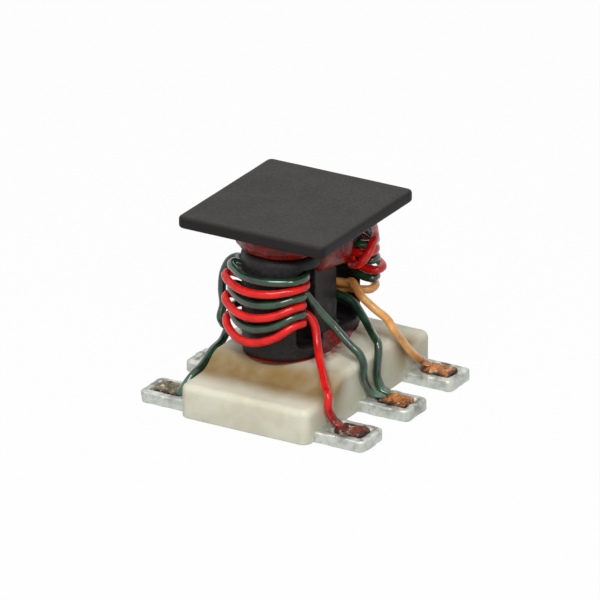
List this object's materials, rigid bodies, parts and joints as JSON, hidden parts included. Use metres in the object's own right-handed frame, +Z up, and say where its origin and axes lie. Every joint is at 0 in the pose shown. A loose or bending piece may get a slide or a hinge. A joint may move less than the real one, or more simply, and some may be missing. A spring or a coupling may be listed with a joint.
{
  "type": "rf transformer",
  "caption": "Surface-mount RF transformer: twin-window ferrite core wound with coloured wire, on a moulded base with flat leads, under a black pick-up plate.",
  "frame": {"origin": "middle of the lead pattern, on the plane of the lead undersides", "axes": "+Z up from the board, +X towards the right-hand leads, -Y towards the front"},
  "size_m": [0.0038, 0.0036, 0.0029],
  "materials": {
    "base_plastic": "ivory moulded plastic",
    "ferrite": "dark grey sintered ferrite",
    "red_adhesive": "cured red adhesive",
    "plate_black": "satin black plate",
    "red_enamel": "red enamelled copper wire",
    "green_enamel": "green enamelled copper wire",
    "gold_enamel": "gold enamelled copper wire",
    "tinned_lead": "satin tin plating",
    "weld_copper": "fused copper"
  },
  "bodies": {
    "root": {"core_adhesive": "red_adhesive", "ferrite_core": "ferrite", "gold_wire": "gold_enamel", "green_back_wire": "green_enamel", "green_front_wire": "green_enamel", "header_base": "base_plastic", "lead_back_left": "tinned_lead", "lead_back_right": "tinned_lead", "lead_front_left": "tinned_lead", "lead_front_right": "tinned_lead", "lead_middle_left": "tinned_lead", "lead_middle_right": "tinned_lead", "plate_adhesive": "red_adhesive", "red_wire": "red_enamel", "top_plate": "plate_black", "weld_back_left": "weld_copper", "weld_back_right": "weld_copper", "weld_front_left": "weld_copper", "weld_front_right": "weld_copper", "weld_middle_right": "weld_copper"}
  },
  "joints": []
}
